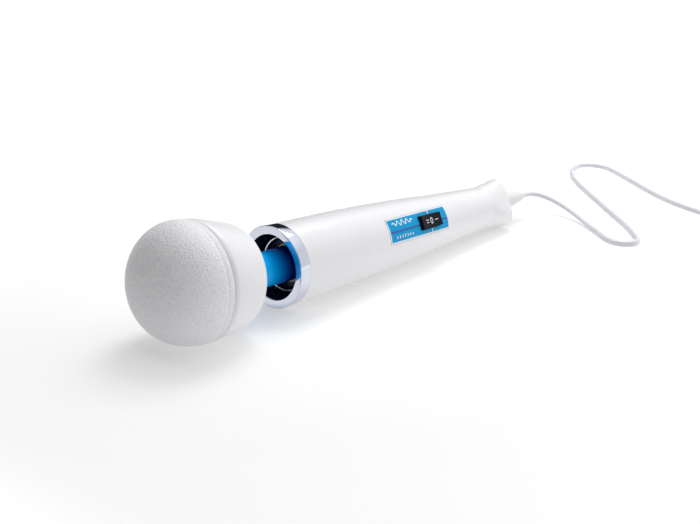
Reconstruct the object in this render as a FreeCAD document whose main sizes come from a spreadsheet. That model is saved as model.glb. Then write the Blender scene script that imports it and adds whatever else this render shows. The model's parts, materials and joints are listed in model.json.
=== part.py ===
"""Handheld wand massager on its mains lead: a parametric document, in millimetres.

Every piece of the handle is drawn about the handle's own axis, and every piece of the head about
the head's own axis. Both axes run along X, from the tip of the head towards the tail, and the
stations along them are counted from the tip of the head. The neck bends a little where the head
and the tail rest on the table, so the two frames are placed at slightly different tilts.
"""
import FreeCAD, Part
import math
import os
import re

import Sketcher
from FreeCAD import Placement, Rotation, Vector

document = FreeCAD.newDocument("wand_massager")
sheet = document.addObject("Spreadsheet::Sheet", "sizes")

DIMENSIONS = {
    # how the wand lies: station of the row's origin, tilts in degrees
    "origin_station": 171.1,
    "neck_middle": 76,
    "head_tilt": 7.5,
    "handle_roll": 65,
    "fit_gap": 0.1,
    # soft cover of the head
    "head_radius": 31.4,
    "nose_radius": 39.4,
    "nose_edge": 4.1,
    "shoulder_radius": 25,
    "shoulder_end": 26.5,
    "groove_station": 31.8,
    "groove_radius": 29.4,
    "lip_round": 2.2,
    "cushion_wall": 5,
    "cushion_seat_radius": 26.4,
    "rear_radius": 31.1,
    "rear_widest": 34.4,
    "rear_shoulder": 52.5,
    "rear_shoulder_radius": 27.6,
    "rear_back": 60.5,
    "rear_back_radius": 18.5,
    "rear_wall": 3,
    # rigid core of the head
    "core_wall": 2.2,
    "post_pitch": 20.2,
    "post_radius": 2.8,
    "post_screw_radius": 1.4,
    # ball bearings of the head
    "front_bearing": 10,
    "rear_bearing": 44,
    "bearing_width": 6,
    "bearing_radius": 9.5,
    "race_wall": 1.6,
    "race_relief": 0.8,
    "ball_pitch": 6.25,
    "ball_radius": 1.6,
    "ball_count": 9,
    "shaft_radius": 3,
    # eccentric weight
    "weight_start": 20,
    "weight_length": 21,
    "weight_radius": 15.8,
    "weight_hub": 7,
    # neck
    "sleeve_radius": 9.7,
    "sleeve_bore": 6.95,
    "spigot_radius": 6.85,
    "spigot_bore": 4.3,
    "spigot_length": 8.5,
    "neck_start": 57.6,
    "neck_end": 98.3,
    "bend_half": 11,
    "spring_radius": 5.9,
    "spring_wire": 0.6,
    "spring_pitch": 2.5,
    "spring_turns": 7,
    "coupling_radius": 4,
    # chrome ring and the collar inside it
    "ring_front": 84.9,
    "ring_back": 92,
    "ring_radius": 22.8,
    "ring_opening": 17.9,
    "ring_round": 0.8,
    "collar_front": 93.8,
    "collar_radius": 15.2,
    "collar_floor": 96.6,
    "neck_hole": 10.9,
    # outline of the handle
    "handle_front_radius": 22.7,
    "belly_end": 230,
    "belly_end_radius": 17.5,
    "belly_arc": 1750,
    "waist_start": 276,
    "waist_start_radius": 14.9,
    "flare_start": 281,
    "tail_rim": 304.5,
    "tail_round": 2.6,
    "tail_half_width": 16.8,
    "tail_top": 11,
    "tail_bottom": 8.6,
    "rest_station": 299,
    "rest_height": 17.2,
    "cord_hole": 4.6,
    "shell_wall": 2.2,
    # label and switch
    "label_start": 161.1,
    "label_end": 222.9,
    "label_half": 7.4,
    "label_depth": 0.7,
    "label_proud": 0.1,
    "switch_middle": 202.2,
    "window_half_length": 10.7,
    "window_half_width": 4.4,
    "rocker_half_length": 9.6,
    "rocker_half_width": 4.1,
    "rocker_pivot": 13.6,
    "rocker_top": 22,
    "rocker_dish": 60,
    # motor
    "motor_radius": 17.3,
    "field_start": 121,
    "field_length": 22,
    "field_bore": 11,
    "armature_radius": 10.4,
    "front_bracket": 110,
    "rear_bracket": 161,
    "bracket_length": 4,
    "bush_radius": 5.5,
    "bush_length": 6,
    "commutator_start": 149,
    "commutator_length": 8,
    "commutator_radius": 5,
    "motor_bolt_pitch": 15.6,
    "motor_bolt_radius": 1.2,
    "fan_start": 102,
    "fan_length": 4.6,
    "fan_radius": 15.5,
    "slot_count": 12,
    # mains lead
    "cord_radius": 1.7,
    "relief_start": 300.6,
    "relief_face": 307.1,
    "relief_end": 342,
    "relief_radius": 6.2,
    "relief_tip_radius": 2.7,
    "coil_radius": 17.4,
    "coil_columns": 3,
    "coil_layers": 4,
    "coil_centre_x": 272.7,
    "coil_centre_y": -131,
    "plug_taper": 12,
    "plug_grip_radius": 5,
    "plug_length": 22,
    "plug_width": 20,
    "plug_height": 13,
    "blade_length": 16,
    "blade_spacing": 12.7,
}
for row, (alias, number) in enumerate(DIMENSIONS.items(), start=1):
    sheet.set(f"A{row}", alias)
    sheet.set(f"B{row}", str(number))
    sheet.setAlias(f"B{row}", alias)
document.recompute()

ALIAS = re.compile(r"\b[a-z]+(?:_[a-z]+)+\b")
subparts = {}


def bound(text):
    """The expression with each alias named as a cell of the sheet."""
    return ALIAS.sub(lambda word: "sizes." + word.group(), str(text))


def value(text):
    """What an expression comes to, as a number of millimetres or degrees."""
    return float(document.sizes.evalExpression(bound(text)))


def tie(thing, **properties):
    """Binds properties to expressions, with __ in a name standing for a dot."""
    for name, text in properties.items():
        thing.setExpression(name.replace("__", "."), bound(text))
    return thing


# ---------------------------------------------------------------- drawing helpers

def arc_between(start, end, radius, bulges_left):
    """Arc of a circle from start to end, anticlockwise in the sketch, and whether it was reversed."""
    chord = end - start
    middle = start + chord * 0.5
    left = Vector(-chord.y, chord.x, 0).normalize()
    rise = math.sqrt(max(radius ** 2 - (chord.Length / 2) ** 2, 0))
    centre = middle - left * rise if bulges_left else middle + left * rise
    first, last = (end, start) if bulges_left else (start, end)
    angles = [math.atan2(point.y - centre.y, point.x - centre.x) for point in (first, last)]
    if angles[1] < angles[0]:
        angles[1] += 2 * math.pi
    circle = Part.Circle(centre, Vector(0, 0, 1), radius)
    return Part.ArcOfCircle(circle, *angles)


def pin(sketch, geometry, vertex, across, up):
    """Fixes one vertex of a sketch at its two expressions."""
    for kind, text, axis in (("DistanceX", across, -2), ("DistanceY", up, -1)):
        if text == "0":
            sketch.addConstraint(Sketcher.Constraint("PointOnObject", geometry, vertex, axis))
            continue
        number = sketch.addConstraint(
            Sketcher.Constraint(kind, -1, 1, geometry, vertex, value(text)))
        sketch.setExpression(f"Constraints[{number}]", bound(text))


def draw(sketch, corners):
    """Closed outline, clockwise. A corner is (across, up), or (across, up, "out" or "in", radius)
    when the line that reaches it is an arc that bulges out of the material or into it."""
    points = [Vector(value(corner[0]), value(corner[1]), 0) for corner in corners]
    ends = []
    for index, corner in enumerate(corners):
        start, end = points[index - 1], points[index]
        if len(corner) == 2:
            geometry = sketch.addGeometry(Part.LineSegment(start, end))
            ends.append((geometry, 1, 2))
            continue
        outwards = corner[2] == "out"
        arc = arc_between(start, end, value(corner[3]), outwards)
        geometry = sketch.addGeometry(arc)
        ends.append((geometry, 2, 1) if outwards else (geometry, 1, 2))
        if "0" in (corner[1], corners[index - 1][1]):
            sketch.addConstraint(Sketcher.Constraint("PointOnObject", geometry, 3, -1))
            continue
        number = sketch.addConstraint(Sketcher.Constraint("Radius", geometry, value(corner[3])))
        sketch.setExpression(f"Constraints[{number}]", bound(corner[3]))
    for index, corner in enumerate(corners):
        geometry, first, last = ends[index]
        before, _, before_last = ends[index - 1]
        sketch.addConstraint(Sketcher.Constraint("Coincident", before, before_last, geometry, first))
        pin(sketch, geometry, last, corner[0], corner[1])


def new_body(name, plane_role, corners):
    """A body with one sketch of the outline on its own origin plane."""
    body = document.addObject("PartDesign::Body", name + "_body")
    plane = next(item for item in body.Origin.OriginFeatures if item.Role == plane_role)
    sketch = body.newObject("Sketcher::SketchObject", name + "_outline")
    sketch.AttachmentSupport = [(plane, "")]
    sketch.MapMode = "FlatFace"
    draw(sketch, corners)
    return body, sketch


def turned(name, corners):
    """A piece turned about the X axis: corners are (station, radius)."""
    body, sketch = new_body(name, "XY_Plane", corners)
    turn = body.newObject("PartDesign::Revolution", name + "_turn")
    turn.Profile = sketch
    turn.ReferenceAxis = (sketch, ["H_Axis"])
    turn.Angle = 360
    return body


def ring(name, start, end, bore, radius):
    """A plain tube, disc or rod from one station to another."""
    if bore == "0":
        return turned(name, [(start, "0"), (start, radius), (end, radius), (end, "0")])
    return turned(name, [(start, bore), (start, radius), (end, radius), (end, bore)])


def rod(name, x, y, z, length, radius, along="X"):
    """A cylinder from a point along one of the axes."""
    turn = {"X": Rotation(Vector(0, 1, 0), 90), "Y": Rotation(Vector(1, 0, 0), -90), "Z": Rotation()}
    cylinder = document.addObject("Part::Cylinder", name)
    cylinder.Placement = Placement(Vector(), turn[along])
    return tie(cylinder, Radius=radius, Height=length,
               Placement__Base__x=x, Placement__Base__y=y, Placement__Base__z=z)


def block(name, x, y, z, length, width, height):
    """A box: lowest corner and size."""
    box = document.addObject("Part::Box", name)
    return tie(box, Length=length, Width=width, Height=height,
               Placement__Base__x=x, Placement__Base__y=y, Placement__Base__z=z)


def fused(name, *pieces):
    join = document.addObject("Part::MultiFuse", name)
    join.Shapes = list(pieces)
    return join


def common(name, *pieces):
    shared = document.addObject("Part::MultiCommon", name)
    shared.Shapes = list(pieces)
    return shared


def cut(name, base, *tools):
    result = document.addObject("Part::Cut", name)
    result.Base = base
    result.Tool = tools[0] if len(tools) == 1 else fused(name + "_tools", *tools)
    return result


def together(name, *pieces):
    """Separate solids of one sub-part, such as a set of screws."""
    compound = document.addObject("Part::Compound", name)
    compound.Links = list(pieces)
    return compound


def keep(name, frame, thing):
    """Names a finished sub-part and the frame that it is drawn in."""
    thing.Label = name
    subparts[name] = (thing, frame)
    return thing


def around(count, pitch, start_angle=0):
    """Expressions for y and z of points spaced evenly round the axis."""
    for number in range(count):
        angle = start_angle + number * 360 / count
        yield number, f"({pitch}) * cos({angle})", f"({pitch}) * sin({angle})"


# ---------------------------------------------------------------- frames

head_tilt = value("head_tilt")
pivot_height = value("rear_radius * cos(head_tilt) - (neck_middle - rear_widest) * sin(head_tilt)")
tail_drop = pivot_height - value("rest_height")
handle_tilt = math.degrees(math.asin(tail_drop / value("rest_station - neck_middle")))
neck_tilt = (head_tilt + handle_tilt) / 2
pivot = Vector(value("neck_middle - origin_station"), 0, pivot_height)
along_axis = Vector(value("neck_middle"), 0, 0)


def about_pivot(tilt, roll=0.0):
    """Frame whose X axis passes the neck's middle at the tilt, rolled about that axis."""
    turn = Rotation(Vector(0, 1, 0), tilt) * Rotation(Vector(1, 0, 0), roll)
    return Placement(pivot - turn.multVec(along_axis), turn)


HEAD = about_pivot(head_tilt)
HANDLE = about_pivot(handle_tilt, value("handle_roll"))
NECK = about_pivot(neck_tilt)
TABLE = Placement()


# ---------------------------------------------------------------- round bars along a route

SPRING_STEPS = 12


def rounded_route(points):
    """Straight runs joined by tangent arcs, each as large as its two runs allow."""
    edges, radii = [], []
    here = points[0]
    for before, corner, after in zip(points, points[1:], points[2:]):
        back, ahead = before - corner, after - corner
        half_turn = (math.pi - back.getAngle(ahead)) / 2
        trim = 0.45 * min(back.Length, ahead.Length)
        radii.append(trim / math.tan(half_turn))
        first = corner + back.normalize() * trim
        last = corner + ahead.normalize() * trim
        inwards = (back + ahead).normalize()
        crown = corner + inwards * (radii[-1] / math.cos(half_turn) - radii[-1])
        edges.append(Part.LineSegment(here, first).toShape())
        edges.append(Part.Arc(first, crown, last).toShape())
        here = last
    edges.append(Part.LineSegment(here, points[-1]).toShape())
    return Part.Wire(edges), radii


def bar_along(points, radius):
    """Round bar along the rounded route, with its length and arc radii."""
    path, radii = rounded_route(points)
    circle = Part.Circle(points[0], points[1] - points[0], radius)
    solid = path.makePipeShell([Part.Wire([circle.toShape()])], True, True)
    expected = math.pi * radius ** 2 * path.Length
    if abs(solid.Volume / expected - 1) > 0.01:
        raise ValueError("a bar's volume isn't its section times its length")
    return solid, path.Length, radii


def spring(name, start, along, radius, wire, pitch, turns):
    """A coil spring wound round a line that starts at a point and runs along X or across along Y."""
    points = []
    for step in range(SPRING_STEPS * turns + 1):
        angle = 2 * math.pi * step / SPRING_STEPS
        across, up = radius * math.cos(angle), radius * math.sin(angle)
        side = Vector(0, across, up) if along.x else Vector(across, 0, up)
        points.append(start + along * (pitch * step / SPRING_STEPS) + side)
    feature = document.addObject("Part::Feature", name)
    feature.Shape = bar_along(points, wire)[0]
    return feature


# ---------------------------------------------------------------- head: covers and core

def nose_corner(depth):
    """Station and radius where the nose's arc meets the shoulder's, under the surface by the depth."""
    return (f"nose_radius - (nose_radius - {depth}) * (nose_radius - nose_edge) / nose_radius",
            f"(nose_radius - {depth}) * sqrt(nose_edge * (2 * nose_radius - nose_edge))"
            " / nose_radius")


keep("head_cushion", HEAD, turned("head_cushion", [
    ("cushion_wall", "0", "in", "nose_radius - cushion_wall"),
    ("0", "0"),
    (*nose_corner("0"), "out", "nose_radius"),
    ("shoulder_end", "head_radius", "out", "shoulder_radius"),
    ("groove_station - lip_round", "head_radius"),
    ("groove_station", "groove_radius", "out", "lip_round"),
    ("groove_station", "cushion_seat_radius"),
    ("shoulder_end", "cushion_seat_radius"),
    (*nose_corner("cushion_wall"), "in", "shoulder_radius - cushion_wall"),
]))

keep("head_rear_cover", HEAD, turned("head_rear_cover", [
    ("groove_station", "cushion_seat_radius"),
    ("groove_station", "groove_radius"),
    ("rear_widest", "rear_radius", "out", "lip_round + 1"),
    ("rear_shoulder", "rear_shoulder_radius", "out", "150"),
    ("rear_back", "rear_back_radius", "out", "9.5"),
    ("rear_back", "sleeve_radius + 0.3"),
    ("rear_back - rear_wall", "sleeve_radius + 0.3"),
    ("rear_back - rear_wall", "rear_back_radius - 1.5"),
    ("rear_shoulder - 1", "rear_shoulder_radius - rear_wall", "in", "8"),
]))

dome = turned("core_dome", [
    ("cushion_wall + fit_gap", "0"),
    (*nose_corner("(cushion_wall + fit_gap)"), "out", "nose_radius - cushion_wall - fit_gap"),
    ("shoulder_end", "cushion_seat_radius - fit_gap", "out",
     "shoulder_radius - cushion_wall - fit_gap"),
    ("groove_station", "cushion_seat_radius - fit_gap"),
    ("groove_station", "cushion_seat_radius - fit_gap - core_wall"),
    ("shoulder_end", "cushion_seat_radius - fit_gap - core_wall"),
    (*nose_corner("(cushion_wall + fit_gap + core_wall)"), "in",
     "shoulder_radius - cushion_wall - fit_gap - core_wall"),
    ("cushion_wall + fit_gap + core_wall", "0", "in",
     "nose_radius - cushion_wall - fit_gap - core_wall"),
])
front_boss = rod("front_boss", "cushion_wall + 2.2", "0", "0",
                 "front_bearing + bearing_width - cushion_wall - 2.2", "bearing_radius + 2")
front_posts = [
    rod(f"front_post_{number}", "16", y, z, "groove_station - 16", "post_radius")
    for number, y, z in around(3, "post_pitch", 30)
]
front_seat = rod("front_seat", "front_bearing", "0", "0", "bearing_width + 1", "bearing_radius")
front_relief = rod("front_relief", "front_bearing - race_relief", "0", "0", "1",
                   "bearing_radius - race_wall")
front_pilots = [
    rod(f"front_pilot_{number}", "20", y, z, "groove_station - 19", "post_screw_radius")
    for number, y, z in around(3, "post_pitch", 30)
]
keep("head_core_front", HEAD, cut(
    "head_core_front", fused("front_core_solid", dome, front_boss, *front_posts),
    front_seat, front_relief, *front_pilots))

rear_cup = turned("rear_cup", [
    ("groove_station + fit_gap", "cushion_seat_radius - core_wall"),
    ("groove_station + fit_gap", "cushion_seat_radius - fit_gap"),
    ("rear_shoulder - 1", "rear_shoulder_radius - rear_wall - fit_gap"),
    ("rear_back - rear_wall - fit_gap", "rear_back_radius - 1.6", "out", "7.9"),
    ("rear_back - rear_wall - fit_gap", "spigot_bore"),
    ("rear_back - rear_wall - fit_gap - core_wall", "spigot_bore"),
    ("rear_back - rear_wall - fit_gap - core_wall", "rear_back_radius - 2.4"),
    ("rear_shoulder - 1", "rear_shoulder_radius - rear_wall - fit_gap - core_wall", "in", "5.7"),
])
rear_boss = rod("rear_boss", "rear_bearing", "0", "0",
                "rear_back - rear_wall - fit_gap - rear_bearing", "bearing_radius + 2")
rear_posts = [
    rod(f"rear_post_{number}", "groove_station + fit_gap", y, z, "20.5", "post_radius + 0.6")
    for number, y, z in around(3, "post_pitch", 30)
]
head_spigot = rod("head_spigot", "rear_back - rear_wall - core_wall", "0", "0",
                  "spigot_length + core_wall", "spigot_radius")
rear_seat = rod("rear_seat", "rear_bearing - 1", "0", "0", "bearing_width + 1", "bearing_radius")
rear_relief = rod("rear_relief", "rear_bearing", "0", "0", "bearing_width + race_relief",
                  "bearing_radius - race_wall")
rear_way = rod("rear_way", "rear_bearing", "0", "0", "30", "spigot_bore")
rear_holes = [
    rod(f"rear_hole_{number}", "groove_station - 1", y, z, "30", "post_screw_radius + fit_gap")
    for number, y, z in around(3, "post_pitch", 30)
]
rear_pockets = [
    rod(f"rear_pocket_{number}", "50", y, z, "12", "post_radius")
    for number, y, z in around(3, "post_pitch", 30)
]
keep("head_core_rear", HEAD, cut(
    "head_core_rear", fused("rear_core_solid", rear_cup, rear_boss, head_spigot, *rear_posts),
    rear_seat, rear_relief, rear_way, *rear_holes, *rear_pockets))

keep("head_core_screws", HEAD, together("head_core_screws", *[
    fused(f"core_screw_{number}",
          rod(f"core_shank_{number}", "24", y, z, "26.2", "post_screw_radius"),
          rod(f"core_screw_head_{number}", "50.1", y, z, "1.8", "post_radius - 0.2"))
    for number, y, z in around(3, "post_pitch", 30)
]))


# ---------------------------------------------------------------- head: bearings, shaft and weight

def ball_bearing(side, start):
    """Outer race, balls and inner race of one bearing of the head."""
    middle = f"{start} + bearing_width / 2"
    end = f"{start} + bearing_width"
    keep(f"{side}_bearing_outer_race", HEAD, ring(
        f"{side}_outer_race", start, end, "bearing_radius - race_wall", "bearing_radius"))
    balls = []
    for number, y, z in around(DIMENSIONS["ball_count"], "ball_pitch"):
        ball = document.addObject("Part::Sphere", f"{side}_ball_{number}")
        balls.append(tie(ball, Radius="ball_radius", Placement__Base__x=middle,
                         Placement__Base__y=y, Placement__Base__z=z))
    keep(f"{side}_bearing_balls", HEAD, together(f"{side}_balls", *balls))
    keep(f"{side}_bearing_inner_race", HEAD, ring(
        f"{side}_inner_race", start, end, "shaft_radius", "shaft_radius + race_wall"))


ball_bearing("front", "front_bearing")
ball_bearing("rear", "rear_bearing")

keep("head_shaft", HEAD, ring(
    "head_shaft", "front_bearing + 0.3", "neck_start + 5", "0", "shaft_radius"))

weight_drum = ring("weight_drum", "weight_start", "weight_start + weight_length",
                   "0", "weight_radius")
weight_half = block("weight_half", "weight_start - 1", "-weight_radius - 1", "-weight_radius - 1",
                    "weight_length + 2", "2 * weight_radius + 2", "weight_radius + 1")
weight_hub = ring("weight_hub", "weight_start", "weight_start + weight_length", "0", "weight_hub")
weight_bore = rod("weight_bore", "weight_start - 1", "0", "0", "weight_length + 2", "shaft_radius")
weight_tap = rod("weight_tap", "weight_start + weight_length / 2", "0", "0", "weight_hub + 1",
                 "1.5", "Z")
keep("eccentric_weight", HEAD, cut(
    "eccentric_weight",
    fused("weight_solid", common("weight_lobe", weight_drum, weight_half), weight_hub),
    weight_bore, weight_tap))
keep("weight_screw", HEAD, together("weight_screw", rod(
    "weight_screw_shank", "weight_start + weight_length / 2", "0", "shaft_radius", "4.2", "1.5",
    "Z")))


# ---------------------------------------------------------------- neck

def bent_axis(start, end):
    """The neck's centre line in the row's frame: head axis, one gentle arc, handle axis."""
    bend = value("bend_half")
    corner = value("neck_middle")
    axle = about_pivot(handle_tilt)
    entry = HEAD.multVec(Vector(corner - bend, 0, 0))
    leave = axle.multVec(Vector(corner + bend, 0, 0))
    half_turn = math.radians(head_tilt - handle_tilt) / 2
    sagitta = bend * math.tan(half_turn / 2)
    crown = pivot + NECK.Rotation.multVec(Vector(0, 0, 1)) * sagitta
    return Part.Wire([
        Part.LineSegment(HEAD.multVec(Vector(start, 0, 0)), entry).toShape(),
        Part.Arc(entry, crown, leave).toShape(),
        Part.LineSegment(leave, axle.multVec(Vector(end, 0, 0))).toShape(),
    ])


def bent_rod(start, end, radius):
    """A round bar along the neck's centre line."""
    spine = bent_axis(start, end)
    circle = Part.Circle(HEAD.multVec(Vector(start, 0, 0)), HEAD.Rotation.multVec(Vector(1, 0, 0)),
                         radius)
    return spine.makePipeShell([Part.Wire([circle.toShape()])], True, True)


def bent_tube(name, start, end, bore, radius):
    """A hose along the neck's centre line."""
    feature = document.addObject("Part::Feature", name)
    outside = bent_rod(value(start), value(end), value(radius))
    inside = bent_rod(value(start), value(end), value(bore))
    feature.Shape = outside.cut(inside)
    feature.Placement = TABLE
    return keep(name, TABLE, feature)


bent_tube("neck_sleeve", "neck_start", "neck_end", "sleeve_bore", "sleeve_radius")
bent_tube("drive_coupling", "neck_start", "neck_end - 4", "shaft_radius", "coupling_radius")

keep("neck_spring", NECK, spring(
    "neck_spring", Vector(value("neck_middle - spring_turns * spring_pitch / 2"), 0, 0),
    Vector(1, 0, 0), value("spring_radius"), value("spring_wire"), value("spring_pitch"),
    int(value("spring_turns"))))

clamp_disc = ring("clamp_disc", "neck_end + fit_gap", "neck_end + 3", "spigot_bore", "20")
handle_spigot = ring("handle_spigot", "neck_middle + bend_half + 1", "neck_end + 3",
                     "spigot_bore", "spigot_radius")
keep("neck_clamp", HANDLE, fused("neck_clamp", clamp_disc, handle_spigot))


# ---------------------------------------------------------------- chrome ring and collar

keep("chrome_ring", HANDLE, turned("chrome_ring", [
    ("ring_front", "ring_opening + ring_round", "out", "ring_round"),
    ("ring_front", "ring_radius - ring_round"),
    ("ring_front + ring_round", "ring_radius", "out", "ring_round"),
    ("ring_back", "ring_radius"),
    ("ring_back", "handle_front_radius - shell_wall - fit_gap"),
    ("ring_back + 5", "handle_front_radius - shell_wall - fit_gap"),
    ("ring_back + 5", "ring_opening + 1"),
    ("collar_front", "ring_opening - 0.5"),
    ("ring_front + ring_round", "ring_opening"),
]))
keep("inner_collar", HANDLE, turned("inner_collar", [
    ("collar_front + 0.5", "collar_radius - 1"),
    ("collar_front", "collar_radius - 0.5", "out", "0.5"),
    ("collar_front + 0.5", "collar_radius", "out", "0.5"),
    ("ring_back + 5 + fit_gap", "ring_opening + 0.4"),
    ("neck_end", "ring_opening + 0.4"),
    ("neck_end", "neck_hole"),
    ("collar_floor", "neck_hole"),
    ("collar_floor", "collar_radius - 1"),
]))


# ---------------------------------------------------------------- handle shells

def waist_radius(station):
    """Radius of the handle where it narrows evenly between its belly and its flare."""
    share = (station - value("belly_end")) / value("waist_start - belly_end")
    return value("belly_end_radius") + share * value("waist_start_radius - belly_end_radius")


def handle_body(name, depth):
    """Round part of the handle, from the ring to the flare, moved inwards by the depth."""
    end_radius = waist_radius(value("flare_start")) - value(depth)
    return turned(name, [
        ("ring_back + fit_gap", f"handle_front_radius - {depth}"),
        ("belly_end", f"belly_end_radius - {depth}", "out", f"belly_arc - {depth}"),
        ("flare_start", str(end_radius)),
        ("flare_start", "0"),
        ("ring_back + fit_gap", "0"),
    ])


SECTION_POINTS = 40
FLARE_SECTIONS = 6
RIM_SECTIONS = 5
FLARE_CURVE = 1.5
RIM_SQUARENESS = 3.5


def tail_section(station, inset):
    """Closed line round the tail: a circle at the waist, wide, flat and squarish at the rim."""
    start, rim = value("flare_start"), value("tail_rim")
    share = min(max((station - start) / (rim - start), 0), 1)
    flare = share ** FLARE_CURVE
    waist = waist_radius(start)
    width, top, bottom = (
        waist + (value(name) - waist) * flare - inset
        for name in ("tail_half_width", "tail_top", "tail_bottom"))
    power = 2 / (2 + (RIM_SQUARENESS - 2) * share)
    points = []
    for number in range(SECTION_POINTS):
        turn = 2 * math.pi * number / SECTION_POINTS
        across, up = math.cos(turn), math.sin(turn)
        height = top if up > 0 else bottom
        points.append(Vector(station, math.copysign(width * abs(across) ** power, across),
                             math.copysign(height * abs(up) ** power, up)))
    line = Part.BSplineCurve()
    line.interpolate(points, PeriodicFlag=True)
    return Part.Wire([line.toShape()])


def tail_body(name, depth, rounded):
    """Flaring end of the handle, moved inwards by the depth, with its rim rounded off or not."""
    start, rim = value("flare_start"), value("tail_rim")
    stations = [start + (rim - start) * step / FLARE_SECTIONS
                for step in range(FLARE_SECTIONS + 1)]
    solid = Part.makeLoft([tail_section(station, depth) for station in stations], True)
    if rounded:
        size = value("tail_round")
        turns = [math.pi / 2 * step / RIM_SECTIONS for step in range(RIM_SECTIONS + 1)]
        edge = [tail_section(rim + size * math.sin(turn), size * (1 - math.cos(turn)))
                for turn in turns]
        solid = solid.fuse(Part.makeLoft(edge, True, True)).removeSplitter()
    feature = document.addObject("Part::Feature", name)
    feature.Shape = solid
    return feature


outer = fused("handle_outer", handle_body("outer_body", "0"), tail_body("outer_tail", 0, True))
inner = fused("handle_inner", handle_body("inner_body", "shell_wall"),
              tail_body("inner_tail", value("shell_wall"), False))
cord_way = rod("cord_way", "tail_rim - 2", "0", "0", "20", "cord_hole")

BOSS_STATIONS = [176, 236, 286]
BOSS_REACH = ["13.4", "10.8", "9.2"]
SHELL_SPAN = ("ring_back - 1", "-30", "230", "60", "30")


def half_block(name, bottom):
    return block(name, SHELL_SPAN[0], SHELL_SPAN[1], bottom, SHELL_SPAN[2], SHELL_SPAN[3],
                 SHELL_SPAN[4])


def bosses(name, start, length, radius):
    """Screw bosses of one half, clipped to the handle's outline, or the holes in them."""
    return [
        rod(f"{name}_{station}_{number}", str(station), y, start, length, radius, "Z")
        for station, reach in zip(BOSS_STATIONS, BOSS_REACH)
        for number, y in enumerate((f"-{reach}", reach))
    ]


upper_skin = cut("upper_skin", common("upper_half", outer, half_block("upper_block", "0")), inner)
lower_skin = cut("lower_skin", common("lower_half", outer, half_block("lower_block", "-30")), inner)
upper_posts = common("upper_posts", outer, fused(
    "upper_post_rods", *bosses("upper_post", "0.05", "14", "2.6")))
lower_posts = common("lower_posts", outer, fused(
    "lower_post_rods", *bosses("lower_post", "-20", "19.95", "2.6")))

window = block("switch_window", "switch_middle - window_half_length", "-window_half_width", "12",
               "2 * window_half_length", "2 * window_half_width", "12")


def skin_band(name, depth, proud):
    """Layer of the handle's surface between a depth under it and a height over it."""
    return turned(name, [
        ("ring_back", f"handle_front_radius - {depth}", "in", f"belly_arc - {depth}"),
        ("ring_back", f"handle_front_radius + {proud}"),
        ("belly_end", f"belly_end_radius + {proud}", "out", f"belly_arc + {proud}"),
        ("belly_end", f"belly_end_radius - {depth}"),
    ])


def label_block(name, margin):
    return block(name, f"label_start - {margin}", f"-label_half - {margin}", "8",
                 f"label_end - label_start + 2 * {margin}", f"2 * label_half + 2 * {margin}", "20")


recess = common("label_recess", skin_band("recess_band", "label_depth", "2"),
                label_block("recess_block", "0.15"))
pilots = bosses("pilot", "-1", "8", "1.1")
keep("upper_shell", HANDLE, cut(
    "upper_shell", fused("upper_solid", upper_skin, upper_posts),
    cord_way, window, recess, *pilots))

shank_holes = bosses("shank_hole", "-25", "26", "1.4")
head_holes = bosses("head_hole", "-25", "19.5", "2.3")
keep("lower_shell", HANDLE, cut(
    "lower_shell", fused("lower_solid", lower_skin, lower_posts), cord_way,
    *shank_holes, *head_holes))

keep("case_screws", HANDLE, together("case_screws", *[
    fused(f"case_screw_{station}_{side}",
          rod(f"case_shank_{station}_{side}", str(station), f"{sign}{reach}", "-5.6", "11.6",
              "1.1", "Z"),
          rod(f"case_head_{station}_{side}", str(station), f"{sign}{reach}", "-7.3", "1.8",
              "2.1", "Z"))
    for station, reach in zip(BOSS_STATIONS, BOSS_REACH)
    for side, sign in (("left", "-"), ("right", ""))
]))

label_skin = common("label_skin", skin_band("label_band", "(label_depth - 0.05)", "label_proud"),
                    label_block("label_outline", "0"))
label_window = block("label_window", "switch_middle - window_half_length", "-window_half_width",
                     "12", "2 * window_half_length", "2 * window_half_width", "12")
keep("label_plate", HANDLE, cut("label_plate", label_skin, label_window))


# ---------------------------------------------------------------- switch

rocker_body, rocker_sketch = new_body("rocker", "XZ_Plane", [
    ("switch_middle - rocker_half_length + 2.5", "rocker_pivot - 2.2"),
    ("switch_middle - rocker_half_length + 0.5", "rocker_pivot + 1"),
    ("switch_middle - rocker_half_length", "rocker_top - 0.6"),
    ("switch_middle - rocker_half_length + 0.6", "rocker_top", "out", "0.6"),
    ("switch_middle + rocker_half_length - 0.6", "rocker_top", "in", "rocker_dish"),
    ("switch_middle + rocker_half_length", "rocker_top - 0.6", "out", "0.6"),
    ("switch_middle + rocker_half_length - 0.5", "rocker_pivot + 1"),
    ("switch_middle + rocker_half_length - 2.5", "rocker_pivot - 2.2"),
])
rocker_pad = rocker_body.newObject("PartDesign::Pad", "rocker_pad")
rocker_pad.Profile = rocker_sketch
rocker_pad.SideType = "Symmetric"
tie(rocker_pad, Length="2 * rocker_half_width")
rocker_pin = rod("rocker_pin", "switch_middle", "-rocker_half_width - 1", "rocker_pivot",
                 "2 * rocker_half_width + 2", "0.9", "Y")
keep("rocker_button", HANDLE, fused("rocker_button", rocker_body, rocker_pin))

switch_box = block("switch_box", "switch_middle - 13", "-5.9", "3", "26", "11.8", "11.8")
switch_well = block("switch_well", "switch_middle - 12.2", "-4.5", "8", "24.4", "9", "12")
pin_holes = rod("pin_holes", "switch_middle", "-5.4", "rocker_pivot", "10.8", "0.95", "Y")
keep("switch_body", HANDLE, cut("switch_body", switch_box, switch_well, pin_holes))
keep("switch_terminals", HANDLE, together("switch_terminals", *[
    block(f"terminal_{number}", f"switch_middle + {offset} - 0.4", "-2.4", "-3", "0.8", "4.8", "6")
    for number, offset in enumerate((-7, 0, 7))
]))


# ---------------------------------------------------------------- motor

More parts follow.
